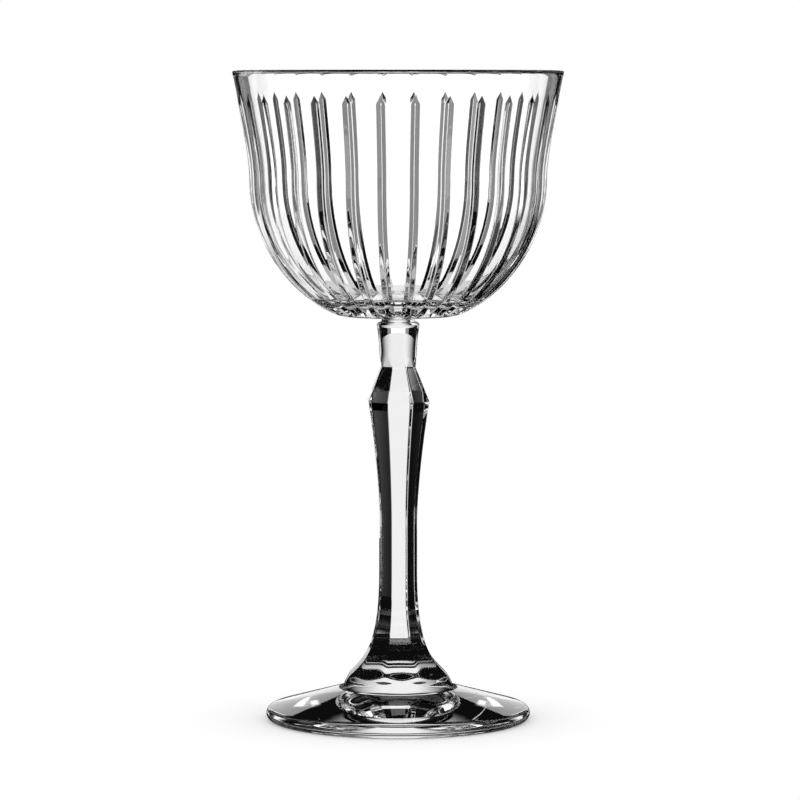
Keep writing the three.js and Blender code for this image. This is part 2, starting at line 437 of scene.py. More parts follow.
def wrapped_grid(tree, rail, columns):
    rows = add_node(tree, "GeometryNodeAttributeDomainSize", {"Geometry": rail}, component="MESH")
    row_count = rows.outputs["Point Count"]
    grid = add_node(tree, "GeometryNodeMeshGrid",
                    {"Vertices X": calc(tree, "ADD", columns, 1.0), "Vertices Y": row_count})
    index = add_node(tree, "GeometryNodeInputIndex").outputs["Index"]
    column = calc(tree, "FLOOR", calc(tree, "DIVIDE", index, row_count))
    row = calc(tree, "FLOORED_MODULO", index, row_count)
    return grid.outputs["Mesh"], column, row


def finish_wrap(tree, grid, radius, angle, height, material):
    x = calc(tree, "MULTIPLY", radius, calc(tree, "SINE", angle))
    y = calc(tree, "MULTIPLY", calc(tree, "MULTIPLY", radius, calc(tree, "COSINE", angle)), -1.0)
    place = add_node(tree, "ShaderNodeCombineXYZ", {"X": x, "Y": y, "Z": height})
    moved = add_node(tree, "GeometryNodeSetPosition", {"Geometry": grid, "Position": place.outputs[0]})
    closed = add_node(tree, "GeometryNodeMergeByDistance",
                      {"Geometry": moved.outputs[0], "Distance": MERGE_WITHIN})
    smooth = add_node(tree, "GeometryNodeSetShadeSmooth", {"Geometry": closed.outputs[0]})
    real = add_node(tree, "GeometryNodeRealizeInstances", {"Geometry": smooth.outputs[0]})
    glass = add_node(tree, "GeometryNodeSetMaterial", {"Geometry": real.outputs[0], "Material": material})
    add_node(tree, "NodeGroupOutput", {"Geometry": glass.outputs[0]})


def across_each(tree, turns):
    return calc(tree, "SUBTRACT", calc(tree, "MULTIPLY", calc(tree, "FRACT", turns), 2.0), 1.0)


print("row and grid helpers ready")

# %% [markdown]
# ## The formula of a flute
# Across one flute the formula counts from minus one to one. The inner share of the columns lies
# in the groove and gathers at its floor and edges, the rest is spread over the plain panel. The
# V itself is one minus the distance from its middle, with both corners rounded by adding a
# small softness under a square root.

# %% The tree that wraps rows into a fluted bowl
GROOVE_SHARE = 0.62
FLOOR_SOFT = 0.03
EDGE_SOFT = 0.03
GATHER = 0.135
COLUMNS_PER_FLUTE = 26


def make_fluted_tree():
    tree = bpy.data.node_groups.new("fluted_turning", "GeometryNodeTree")
    new_socket(tree, "Geometry", "Geometry")
    new_socket(tree, "Flutes", "Int", value=FLUTES)
    new_socket(tree, "Columns per Flute", "Int", value=COLUMNS_PER_FLUTE)
    new_socket(tree, "Floor Softness", "Float", value=FLOOR_SOFT)
    new_socket(tree, "Edge Softness", "Float", value=EDGE_SOFT)
    new_socket(tree, "Glass", "Material")
    new_socket(tree, "Geometry", "Geometry", "OUTPUT")
    given = add_node(tree, "NodeGroupInput").outputs
    rail = given["Geometry"]
    per_flute = given["Columns per Flute"]
    grid, column, row = wrapped_grid(tree, rail, calc(tree, "MULTIPLY", given["Flutes"], per_flute))
    turns = calc(tree, "DIVIDE", column, per_flute)
    flute = calc(tree, "FLOOR", turns)
    across = across_each(tree, turns)
    aside = calc(tree, "ABSOLUTE", across)
    in_groove = calc(tree, "MINIMUM", calc(tree, "DIVIDE", aside, GROOVE_SHARE), 1.0)
    on_panel = calc(tree, "MAXIMUM", calc(tree, "SUBTRACT", aside, GROOVE_SHARE), 0.0)
    on_panel = calc(tree, "DIVIDE", on_panel, 1 - GROOVE_SHARE)
    half_pitch = calc(tree, "DIVIDE", math.pi, given["Flutes"])
    spread = row_value(tree, rail, row, "spread")
    panel = calc(tree, "MULTIPLY", on_panel, calc(tree, "SUBTRACT", half_pitch, spread))
    even = calc(tree, "MULTIPLY", in_groove, EDGE_REACH)
    pull = calc(tree, "SINE", calc(tree, "MULTIPLY", even, 2 * math.pi))
    reach = calc(tree, "SUBTRACT", even, calc(tree, "MULTIPLY", pull, GATHER))
    sideways = calc(tree, "MULTIPLY", reach, calc(tree, "DIVIDE", spread, EDGE_REACH))
    offset = calc(tree, "MULTIPLY", calc(tree, "ADD", sideways, panel), calc(tree, "SIGN", across))
    pitch = calc(tree, "MULTIPLY", half_pitch, 2.0)
    middle = calc(tree, "MULTIPLY", calc(tree, "ADD", flute, 0.5), pitch)
    angle = calc(tree, "ADD", middle, offset)
    sunk = calc(tree, "SUBTRACT", 1.0, long_side(tree, reach, given["Floor Softness"]))
    soft_sunk = long_side(tree, sunk, given["Edge Softness"])
    vee = calc(tree, "MULTIPLY", calc(tree, "ADD", sunk, soft_sunk), 0.5)
    depth = calc(tree, "MULTIPLY", vee, row_value(tree, rail, row, "depth"))
    point = row_point(tree, rail, row)
    out_r = row_value(tree, rail, row, "out_r")
    out_z = row_value(tree, rail, row, "out_z")
    radius = calc(tree, "SUBTRACT", point["X"], calc(tree, "MULTIPLY", out_r, depth))
    height = calc(tree, "SUBTRACT", point["Z"], calc(tree, "MULTIPLY", out_z, depth))
    finish_wrap(tree, grid, radius, angle, height, given["Glass"])
    return tree


fluted_turning = make_fluted_tree()
print("tree", fluted_turning.name, "with", len(fluted_turning.nodes), "nodes")

# %% [markdown]
# ## From rows to a finished mesh
# A tree needs an object to sit on. The rows become the points of a helper mesh, the tree goes
# on as a modifier, its inputs are set by their identifiers before the first evaluation, and
# the evaluated result is copied into a plain mesh. The helper is then removed, so nothing
# live is left.

# %% Helpers that run a tree
def rail_mesh(name, points, **values):
    mesh = bpy.data.meshes.new(name)
    links = [(k, k + 1) for k in range(len(points) - 1)]
    mesh.from_pydata([(p[0], 0, p[1]) for p in points], links, [])
    for key, numbers in values.items():
        attribute = mesh.attributes.new(key, "FLOAT", "POINT")
        attribute.data.foreach_set("value", [float(n) for n in numbers])
    return mesh


def run_tree(name, rail, tree, **settings):
    helper = add_object(name + "_rows", rail)
    modifier = helper.modifiers.new(tree.name, "NODES")
    modifier.node_group = tree
    sockets = {s.name: s.identifier for s in tree.interface.items_tree if s.in_out == "INPUT"}
    for key, value in settings.items():
        modifier[sockets[key.replace("_", " ")]] = value
    graph = bpy.context.evaluated_depsgraph_get()
    mesh = bpy.data.meshes.new_from_object(helper.evaluated_get(graph))
    bpy.data.objects.remove(helper)
    mesh.name = name
    return mesh


print("tree runner ready")

# %% [markdown]
# ## Closing a piece and marking its joints
# Every piece goes through the same last steps: the faces are turned outward, all are shaded
# smooth, and the ones that touch a neighbour get the joint material, with a crisp border. The
# helper also counts open edges and measures the glass, so a leak would show at once.

# %% A helper that finishes a piece
LEVEL_WITHIN = 1e-6
JOINT_SLACK = 1.01


def finish_piece(name, mesh, glass, joints):
    mesh.materials.clear()
    mesh.materials.append(glass)
    mesh.materials.append(fused_joint)
    shape = bmesh.new()
    shape.from_mesh(mesh)
    bmesh.ops.recalc_face_normals(shape, faces=shape.faces)
    if shape.calc_volume(signed=True) < 0:
        bmesh.ops.reverse_faces(shape, faces=shape.faces)
    for face in shape.faces:
        face.smooth = True
        middle = face.calc_center_median()
        reach = middle.to_2d().length / JOINT_SLACK
        near = [r for z, r in joints if abs(middle.z - z) < LEVEL_WITHIN and reach < r]
        face.material_index = 1 if near else 0
    for edge in shape.edges:
        edge.smooth = len({f.material_index for f in edge.link_faces}) < 2
    open_edges = sum(1 for edge in shape.edges if len(edge.link_faces) != 2)
    volume = shape.calc_volume(signed=True)
    fused = sum(1 for face in shape.faces if face.material_index == 1)
    shape.to_mesh(mesh)
    shape.free()
    mesh.calc_loop_triangles()
    print(f"{name}: {len(mesh.loop_triangles)} triangles, {open_edges} open edges, {fused} fused faces, "
          f"{volume * 1e6:.2f} ml of glass")
    return add_object(name, mesh)


print("piece helper ready")

# %% [markdown]
# ## The bowl
# The rows and the tree now meet: the tree is given the thirty flutes and the softness of their
# floors and edges, and the result is the whole bowl in one closed mesh, flutes outside and a
# smooth wall inside, as it leaves the mould.

# %% Make the bowl
bowl_rail = rail_mesh("bowl_rows", [r[0] for r in bowl_rows],
                      out_r=[r[1][0] for r in bowl_rows], out_z=[r[1][1] for r in bowl_rows],
                      depth=[r[2] for r in bowl_rows], spread=[r[3] for r in bowl_rows])
bowl_mesh = run_tree("bowl_visual", bowl_rail, fluted_turning, Flutes=FLUTES,
                     Columns_per_Flute=COLUMNS_PER_FLUTE, Floor_Softness=FLOOR_SOFT,
                     Edge_Softness=EDGE_SOFT, Glass=bowl_glass)
bowl_piece = finish_piece("bowl_visual", bowl_mesh, bowl_glass, [(bowl_base, JOINT_RADIUS)])

# %% [markdown]
# ## The eight-sided stem
# The stem is cut with eight flats on a round blank. The flats are narrow at the waist, widest
# at the knop, and they run out in arches on the round neck. A boolean of a blank and an
# octagon gives that shape with knife edges. A softer rule is used here: each point takes the
# nearest of the flats and of the blank, with a high power that blends them over a small
# radius, so the edges come out polished.

# %% Draw the stem's blank and flats
FLARE_LENGTH = 28.5 * MM
WAIST_LENGTH = 11 * MM
TAPER_LENGTH = 30.2 * MM
SHOULDER_LENGTH = 8.2 * MM
FLARE_RADIUS = 14.4 * MM
FLARE_LIP = 0.4 * MM
WAIST_HALF_FLATS = 4.48 * MM
KNOP_HALF_FLATS = 7.37 * MM
KNOP_BLANK_RADIUS = 8.4 * MM
NECK_HALF_FLATS = 4.12 * MM
NECK_RADIUS = 4.47 * MM
NECK_TOP_RADIUS = 5.2 * MM
SCALLOP_LENGTH = 3 * MM
SCALLOP_CLEAR = 1.02
NECK_TOP_ROUND = NECK_TOP_RADIUS - JOINT_RADIUS
FLARE_LOW_SHARES = (0.6, 0.25)
FLARE_HIGH_SHARE = 0.14
TAPER_LOW_SHARE = 0.27
TAPER_HIGH_SHARES = (0.45, 0.67)
SIDE_STEPS = 200
NECK_STEPS = 60
NECK_TOP_STEPS = 12

waist_low = seat_height + FLARE_LENGTH
waist_high = waist_low + WAIST_LENGTH
knop_height = waist_high + TAPER_LENGTH
neck_low = knop_height + SHOULDER_LENGTH
round_low = stem_top - NECK_TOP_ROUND

flare = bend((FLARE_RADIUS, seat_height),
             (between(WAIST_HALF_FLATS, FLARE_RADIUS, FLARE_LOW_SHARES[0]),
              seat_height + FLARE_LOW_SHARES[1] * FLARE_LENGTH),
             (WAIST_HALF_FLATS, seat_height + FLARE_HIGH_SHARE * FLARE_LENGTH),
             (WAIST_HALF_FLATS, waist_low), SIDE_STEPS)
taper = bend((WAIST_HALF_FLATS, waist_high),
             (WAIST_HALF_FLATS, between(waist_high, knop_height, TAPER_LOW_SHARE)),
             (between(WAIST_HALF_FLATS, KNOP_HALF_FLATS, TAPER_HIGH_SHARES[0]),
              between(waist_high, knop_height, TAPER_HIGH_SHARES[1])),
             (KNOP_HALF_FLATS, knop_height), SIDE_STEPS)
clear = KNOP_BLANK_RADIUS + NECK_TOP_RADIUS
scallop = (SCALLOP_CLEAR * NECK_RADIUS, neck_low + SCALLOP_LENGTH)
flats = flare + taper + [(NECK_HALF_FLATS, neck_low), scallop,
                         (clear, between(neck_low, stem_top, 0.5)), (clear, stem_top)]
neck = bend((NECK_RADIUS, neck_low), (NECK_RADIUS, between(neck_low, round_low, ONE_THIRD)),
            (between(NECK_RADIUS, NECK_TOP_RADIUS, ONE_THIRD), between(neck_low, round_low, TWO_THIRDS)),
            (NECK_TOP_RADIUS, round_low), NECK_STEPS)
neck_rounding = arc((JOINT_RADIUS, round_low), NECK_TOP_ROUND, 0, 90, NECK_TOP_STEPS)
blank = [(FLARE_RADIUS, seat_height), (FLARE_RADIUS, seat_height + FLARE_LIP),
         (KNOP_BLANK_RADIUS, knop_height)] + neck + neck_rounding[1:]
print(f"knop at {knop_height / MM:.1f} mm, neck from {neck_low / MM:.1f} to {stem_top / MM:.1f} mm")

# %% [markdown]
# ## Rows of the stem
# The rows stand closest at the flare, at the ridge of the knop and where the flats run out on
# the neck, because there the outline turns fastest. Where the flats leave the blank altogether
# their distance is held to half as much again as the blank's, which keeps the powers of the
# blend small enough to reckon with.

# %% Cut the stem into rows
RIDGE_ROUND = 0.03 * MM
MOST_CLEAR = 1.5
FLARE_CROWDING = 1.6
FLARE_ROWS, WAIST_ROWS, TAPER_ROWS, SHOULDER_ROWS, NECK_ROWS, TOP_ROWS = 44, 10, 36, 45, 11, 8
stem_heights = np.concatenate([
    seat_height + FLARE_LENGTH * np.linspace(0, 1, FLARE_ROWS, endpoint=False) ** FLARE_CROWDING,
    np.linspace(waist_low, waist_high, WAIST_ROWS, endpoint=False),
    np.linspace(waist_high, knop_height - RIDGE_ROUND, TAPER_ROWS, endpoint=False),
    knop_height + RIDGE_ROUND * np.array([-1, 0, 1]),
    np.linspace(knop_height + RIDGE_ROUND, neck_low + SCALLOP_LENGTH, SHOULDER_ROWS)[1:],
    np.linspace(neck_low + SCALLOP_LENGTH, round_low, NECK_ROWS, endpoint=False)[1:],
    [p[1] for p in arc((JOINT_RADIUS, round_low), NECK_TOP_ROUND, 0, 90, TOP_ROWS)],
])


def width_at(profile, heights):
    table = np.array(profile)
    return np.interp(heights, table[:, 1], table[:, 0])


stem_blank = width_at(blank, stem_heights)
stem_flats = np.minimum(width_at(flats, stem_heights), MOST_CLEAR * stem_blank)
print(len(stem_heights), "rows on the stem")

# %% [markdown]
# ## Flats by Geometry Nodes
# The same wrapped grid serves for the stem, with another formula. The stem is pressed by itself
# and joined to the bowl by eye, so its flats need not stand square to the flutes: the whole
# ring of flats is turned by a few degrees, as on the photograph. The columns gather at the
# edges, where the blend between two flats is tightest.

# %% The tree that wraps rows into a faceted stem
STEM_SIDES = 8
STEM_TURN = math.radians(4.5)
COLUMNS_PER_SIDE = 24


def make_faceted_tree():
    tree = bpy.data.node_groups.new("faceted_turning", "GeometryNodeTree")
    new_socket(tree, "Geometry", "Geometry")
    new_socket(tree, "Sides", "Int", value=STEM_SIDES)
    new_socket(tree, "Columns per Side", "Int", value=COLUMNS_PER_SIDE)
    new_socket(tree, "Turn", "Float", value=STEM_TURN)
    new_socket(tree, "Glass", "Material")
    new_socket(tree, "Geometry", "Geometry", "OUTPUT")
    given = add_node(tree, "NodeGroupInput").outputs
    rail = given["Geometry"]
    per_side = given["Columns per Side"]
    grid, column, row = wrapped_grid(tree, rail, calc(tree, "MULTIPLY", given["Sides"], per_side))
    turns = calc(tree, "DIVIDE", column, per_side)
    side = calc(tree, "FLOOR", turns)
    across = calc(tree, "SINE", calc(tree, "MULTIPLY", across_each(tree, turns), math.pi / 2))
    half_side = calc(tree, "DIVIDE", math.pi, given["Sides"])
    offset = calc(tree, "MULTIPLY", across, half_side)
    whole_side = calc(tree, "MULTIPLY", half_side, 2.0)
    angle = calc(tree, "ADD", calc(tree, "MULTIPLY", side, whole_side), offset)
    angle = calc(tree, "ADD", angle, given["Turn"])
    power = row_value(tree, rail, row, "crispness")
    own = calc(tree, "POWER", calc(tree, "COSINE", offset), power)
    away = calc(tree, "SUBTRACT", whole_side, calc(tree, "ABSOLUTE", offset))
    neighbour = calc(tree, "POWER", calc(tree, "COSINE", away), power)
    point = row_point(tree, rail, row)
    half_flats = row_value(tree, rail, row, "half_flats")
    rounded = calc(tree, "POWER", calc(tree, "DIVIDE", half_flats, point["X"]), power)
    total = calc(tree, "ADD", calc(tree, "ADD", own, neighbour), rounded)
    root = calc(tree, "POWER", total, calc(tree, "DIVIDE", 1.0, power))
    radius = calc(tree, "DIVIDE", half_flats, root)
    radius = calc(tree, "MULTIPLY", radius, row_value(tree, rail, row, "open"))
    finish_wrap(tree, grid, radius, angle, point["Z"], given["Glass"])
    return tree


faceted_turning = make_faceted_tree()
print("tree", faceted_turning.name, "with", len(faceted_turning.nodes), "nodes")

# %% [markdown]
# ## Crisp above, melted below
# The edges of the flats are crisp along the stem and melt away on the flare, where the flame
# that joins stem and foot has softened them. The power of the blend says how crisp an edge is,
# so each row carries its own power, which falls from a high one above to a low one below.

# %% Make the stem
EDGE_CRISP = 150
EDGE_ROUND = 10
ROUND_BELOW = 10 * MM
CRISP_ABOVE = 21 * MM
stem_points = [(FLARE_RADIUS, seat_height), *zip(stem_blank, stem_heights), (JOINT_RADIUS, stem_top)]
melted = np.clip((CRISP_ABOVE - stem_heights) / (CRISP_ABOVE - ROUND_BELOW), 0, 1)
crispness = EDGE_CRISP * (EDGE_ROUND / EDGE_CRISP) ** melted
stem_rail = rail_mesh("stem_rows", stem_points, half_flats=[FLARE_RADIUS, *stem_flats, stem_flats[-1]],
                      crispness=[crispness[0], *crispness, crispness[-1]],
                      open=[0.0] + [1.0] * len(stem_heights) + [0.0])
stem_mesh = run_tree("stem_visual", stem_rail, faceted_turning, Sides=STEM_SIDES,
                     Columns_per_Side=COLUMNS_PER_SIDE, Turn=STEM_TURN, Glass=stem_glass)
stem_piece = finish_piece("stem_visual", stem_mesh, stem_glass,
                          [(seat_height, FLARE_RADIUS), (stem_top, JOINT_RADIUS)])

# %% [markdown]
# ## The foot
# The foot and the merese are plain turned shapes, so Blender's Spin does the work: the profile
# is drawn once and swept a full turn, the seam is merged, and the normals are recalculated
# because a spin can turn a shape inside out. The foot is made first. It is gently hollowed
# underneath and rests on a ring.

# %% A helper that spins a profile
TURN_STEPS = 192
WELD_WITHIN = 1e-7


def spun(name, profile):
    shape = bmesh.new()
    points = [shape.verts.new((p[0], 0, p[1])) for p in profile]
    edges = [shape.edges.new(pair) for pair in zip(points, points[1:])]
    bmesh.ops.spin(shape, geom=points + edges, cent=(0, 0, 0), axis=(0, 0, 1), angle=2 * math.pi,
                   steps=TURN_STEPS, use_merge=True)
    bmesh.ops.remove_doubles(shape, verts=shape.verts, dist=WELD_WITHIN)
    return add_mesh(name, shape)


print("one turn has", TURN_STEPS, "steps")

# %% Make the foot
FOOT_EDGE_ROUND = 1.6 * MM
REST_RING_WIDTH = 4 * MM
UNDERSIDE_RISE = 0.7 * MM
FOOT_ARC_STEPS = 24
FOOT_TOP_RINGS = (0.02, 0.25, 0.5, 0.75, 0.98, 1)


def foot_profile():
    centre = (foot_radius - FOOT_EDGE_ROUND, FOOT_EDGE_ROUND)
    run = (centre[0] - FLARE_RADIUS, centre[1] - seat_height)
    slope = math.atan2(run[1], run[0]) + math.asin(FOOT_EDGE_ROUND / math.hypot(*run))
    rest_inner = centre[0] - REST_RING_WIDTH
    radius = (rest_inner ** 2 + UNDERSIDE_RISE ** 2) / (2 * UNDERSIDE_RISE)
    reach = math.degrees(math.asin(rest_inner / radius))
    hollow = arc((0, UNDERSIDE_RISE - radius), radius, 90, 90 - reach, FOOT_ARC_STEPS)
    edge = arc(centre, FOOT_EDGE_ROUND, -90, math.degrees(slope) + 90, FOOT_ARC_STEPS)
    top = [(between(edge[-1][0], FLARE_RADIUS, s), between(edge[-1][1], seat_height, s))
           for s in FOOT_TOP_RINGS]
    return hollow + [(between(rest_inner, centre[0], 0.5), 0)] + edge + top + [(0, seat_height)]


foot_piece = finish_piece("foot_visual", spun("foot_visual", foot_profile()), foot_glass,
                          [(seat_height, FLARE_RADIUS)])

# %% [markdown]
# ## The merese
# The button between stem and bowl is a bit of hot glass that is dropped on and squeezed, so its
# side is drawn in a little between two round joints of the same size. A bend reaches only three
# quarters of the way to its handles, so the handles stand in by a third more than the hollow.

# %% Make the merese
MERESE_HOLLOW = 0.3 * MM
MERESE_STEPS = 16
HANDLE_EXTRA = 4 / 3


def merese_profile():
    waist = JOINT_RADIUS - HANDLE_EXTRA * MERESE_HOLLOW
    side = bend((JOINT_RADIUS, stem_top), (waist, between(stem_top, bowl_base, ONE_THIRD)),
                (waist, between(stem_top, bowl_base, TWO_THIRDS)), (JOINT_RADIUS, bowl_base), MERESE_STEPS)
    return [(0, stem_top)] + side + [(0, bowl_base)]


merese_piece = finish_piece("merese_visual", spun("merese_visual", merese_profile()), stem_glass,
                            [(stem_top, JOINT_RADIUS), (bowl_base, JOINT_RADIUS)])

# %% [markdown]
# ## Joining the frame
# Every piece rides on the one body of the glass and stands for its CAD node.

# %% Ride and replace
pieces = {"bowl": bowl_piece, "stem": stem_piece, "merese": merese_piece, "foot": foot_piece}
for node, piece in pieces.items():
    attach(piece, "root")
    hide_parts(node)
print("pieces on the frame:", [p.name for p in pieces.values()])

# %% [markdown]
# ## The room and the floor
# Clear glass shows only what stands round it. A photographer sets it on a white sheet and keeps
# the rest dark, so that the edges draw themselves as dark lines. Here the world is an even
# white, which is plain soft studio light, and the floor is pale. Near the foot the floor takes
# the soft shadow, and further out it glows a plain white that meets the backdrop without a line.

# %% The white room
WHITE = (1, 1, 1, 1)
world = bpy.data.worlds.new("white_room")
bpy.context.scene.world = world
world.use_nodes = True
world.node_tree.nodes["Background"].inputs["Color"].default_value = WHITE
world.node_tree.nodes["Background"].inputs["Strength"].default_value = 1.0
print("the room is lit by", world.name)

# %% The pale floor
FLOOR_REACH = 3.0
FLOOR_SIDES = 96
FLOOR_COLOUR = (0.97, 0.97, 0.97, 1)
FLOOR_ROUGHNESS = 0.9
SHADOW_REACH = (20 * MM, 55 * MM)


def make_floor():
    shape = bmesh.new()
    bmesh.ops.create_circle(shape, cap_ends=True, segments=FLOOR_SIDES, radius=FLOOR_REACH)
    mesh = add_mesh("floor", shape)
    material, tree = add_material("pale_floor")
    shader = tree.nodes["Principled BSDF"]
    shader.inputs["Base Color"].default_value = FLOOR_COLOUR
    shader.inputs["Roughness"].default_value = FLOOR_ROUGHNESS
    shader.inputs["Specular IOR Level"].default_value = 0.0
    place = add_node(tree, "ShaderNodeTexCoord").outputs["Object"]
    distance = add_node(tree, "ShaderNodeVectorMath", {0: place}, operation="LENGTH").outputs["Value"]
    far = shade(tree, distance, SHADOW_REACH)
    white = add_node(tree, "ShaderNodeEmission", {"Color": WHITE, "Strength": 1.0})
    show_mix(tree, far, shader, white)
    mesh.materials.append(material)
    floor = add_object("floor", mesh)
    return floor


floor = make_floor()
floor.visible_transmission = False
floor.visible_glossy = False
print("floor of", FLOOR_REACH, "m")

# %% [markdown]
# ## Helpers for the stage
# Around clear glass a photographer hangs black cloth and white cards. All of them are made the
# same way here: a plain mesh whose material glows where it is lit and is clear air elsewhere.
# They are hidden from the camera, from the floor and from shadows, so only light that the
# glass has bent or mirrored meets them, and the lighting of the room stays plain.

# %% Helpers for cloth and cards
def bare_material(name):
    material, tree = add_material(name)
    tree.nodes.remove(tree.nodes["Principled BSDF"])
    place = add_node(tree, "ShaderNodeTexCoord").outputs["Object"]
    return material, tree, add_node(tree, "ShaderNodeSeparateXYZ", {0: place}).outputs


def bearing_of(tree, place):
    return calc(tree, "DEGREES", calc(tree, "ARCTAN2", place["X"], place["Y"]))


def glow_or_air(tree, lit, light):
    air = add_node(tree, "ShaderNodeBsdfTransparent")
    glow = add_node(tree, "ShaderNodeEmission", {"Color": WHITE, "Strength": light})
    show_mix(tree, lit, air, glow)


def stage_piece(name, mesh, material):
    mesh.materials.append(material)
    piece = add_object(name, mesh)
    piece.visible_camera = False
    piece.visible_diffuse = False
    piece.visible_shadow = False
    return piece


print("stage helpers ready")

# %% [markdown]
# ## The dark hood
# The hood is a drum of black cloth round the set: every steep edge of the glass picks it up as
# a dark line. A path across its floor, to the left behind the glass and to the right before
# it, is left open to the white room, so the glass also reads as clear from above. Under the
# foot the cloth is cut away in front and at the sides, and stays under the middle, where the
# photograph is black. Bearings are counted in degrees from straight behind the glass, and
# pairs of numbers are the two ends of a soft border.

# %% Make the dark hood
HOOD_RADIUS = 700 * MM
HOOD_HEIGHT = 900 * MM
HOOD_LIFT = -0.05 * MM
HOOD_SIDES = 128
HOOD_DARK = 0.004
PATH_BEARING = -45.0
PATH_BORDER = (12.0, 18.0)
PATH_START = (110 * MM, 80 * MM)
PATH_TOP_FRONT = (40 * MM, 80 * MM)
PATH_TOP_BEHIND = (8 * MM, 20 * MM)
FRONT_TO_BEHIND = (-5 * MM, 5 * MM)
UNDER_FOOT = (26 * MM, 31 * MM)
UNDER_FRONT = (-20 * MM, -4 * MM)
UNDER_SIDE = (30 * MM, 16 * MM)
QUARTER_TURN = 90.0
HALF_TURN = 180.0


def path_darkness(tree, place, radius):
    turned = calc(tree, "SUBTRACT", bearing_of(tree, place), PATH_BEARING - QUARTER_TURN)
    turned = calc(tree, "FLOORED_MODULO", turned, HALF_TURN)
    from_path = calc(tree, "ABSOLUTE", calc(tree, "SUBTRACT", turned, QUARTER_TURN))
    beside = calc(tree, "MAXIMUM", shade(tree, from_path, PATH_BORDER), shade(tree, radius, PATH_START))
    behind = shade(tree, place["Y"], FRONT_TO_BEHIND)
    wall = calc(tree, "MAXIMUM", shade(tree, place["Z"], PATH_TOP_FRONT),
                calc(tree, "MINIMUM", behind, shade(tree, place["Z"], PATH_TOP_BEHIND)))
    return calc(tree, "MAXIMUM", beside, wall)


def foot_darkness(tree, place, radius):
    aside = calc(tree, "ABSOLUTE", place["X"])
    middle = calc(tree, "MINIMUM", shade(tree, place["Y"], UNDER_FRONT), shade(tree, aside, UNDER_SIDE))
    return calc(tree, "MAXIMUM", shade(tree, radius, UNDER_FOOT), middle)


def make_hood():
    shape = bmesh.new()
    bmesh.ops.create_cone(shape, cap_ends=True, segments=HOOD_SIDES, radius1=HOOD_RADIUS,
                          radius2=HOOD_RADIUS, depth=HOOD_HEIGHT)
    bmesh.ops.translate(shape, verts=shape.verts, vec=(0, 0, HOOD_HEIGHT / 2 + HOOD_LIFT))
    material, tree, place = bare_material("hood_cloth")
    radius = long_side(tree, place["X"], place["Y"])
    dark = calc(tree, "MINIMUM", path_darkness(tree, place, radius), foot_darkness(tree, place, radius))
    glow_or_air(tree, dark, HOOD_DARK)
    return stage_piece("dark_hood", add_mesh("dark_hood", shape), material)


hood = make_hood()
print(hood.name, "of", HOOD_RADIUS / MM, "mm radius, its path", PATH_BORDER, "degrees to each side")

# %% [markdown]
# ## White wings
# The flutes near the outline of the bowl bend the light far to the side. On the photograph
# these are white and the ones before them black, so white wings stand only at the bearings
# that the outer flutes look at. Another pair stands square to the sides, where it does not
# show from the front and lights the glass when it is seen from the side.

# %% Make the wings
WING_RADIUS = 400 * MM
WING_SPAN = (0 * MM, 230 * MM)
WING_FADE_LOW = (0 * MM, 60 * MM)
WING_FADE_HIGH = (155 * MM, 115 * MM)
WING_START = (50.0, 60.0)
WING_END = (66.0, 63.0)
SIDE_WING = (11.0, 15.0)
WING_STEPS = 180
CARD_LIGHT = 1.25


def make_wings():
    mesh = bpy.data.meshes.new("wings")
    bearings = np.linspace(0, 2 * math.pi, WING_STEPS + 1)
    ring = [(WING_RADIUS * math.sin(b), WING_RADIUS * math.cos(b)) for b in bearings]
    above = WING_STEPS + 1
    mesh.from_pydata([(x, y, z) for z in WING_SPAN for x, y in ring], [],
                     [(k, k + 1, k + 1 + above, k + above) for k in range(WING_STEPS)])
    material, tree, place = bare_material("wing_white")
    bearing = calc(tree, "ABSOLUTE", bearing_of(tree, place))
    back = calc(tree, "MULTIPLY", shade(tree, bearing, WING_START), shade(tree, bearing, WING_END))
    back = calc(tree, "MULTIPLY", back, shade(tree, place["Z"], WING_FADE_LOW))
    back = calc(tree, "MULTIPLY", back, shade(tree, place["Z"], WING_FADE_HIGH))
    from_side = calc(tree, "ABSOLUTE", calc(tree, "SUBTRACT", bearing, QUARTER_TURN))
    side = calc(tree, "SUBTRACT", 1.0, shade(tree, from_side, SIDE_WING))
    glow_or_air(tree, calc(tree, "MAXIMUM", back, side), CARD_LIGHT)
    return stage_piece("wings", mesh, material)


wings = make_wings()
print("wings between", WING_START, "and", WING_END, "degrees and square to the sides")

# %% [markdown]
# ## White cards behind the glass
# The panels between the flutes look almost straight back, so a far white card fills them, and
# a grey card round it gives the middle flutes their grey. The stem and its neck bend the light
# up and down as well, so they have nearer cards of their own, with soft sides that shade the
# neck as on a rod. A white strip on the floor closes the stem's bright middle at its foot.

# %% A helper that makes a card with soft sides
def make_card(name, half, soft, light, low, high):
    mesh = bpy.data.meshes.new(name)
    reach = half + soft
    mesh.from_pydata([(-reach, *low), (reach, *low), (reach, *high), (-reach, *high)], [], [(0, 1, 2, 3)])
    material, tree, place = bare_material(name + "_glow")
    lit = shade(tree, calc(tree, "ABSOLUTE", place["X"]), (half + soft, half - soft))
    glow_or_air(tree, lit, light)
    return stage_piece(name, mesh, material)


print("card helper ready")

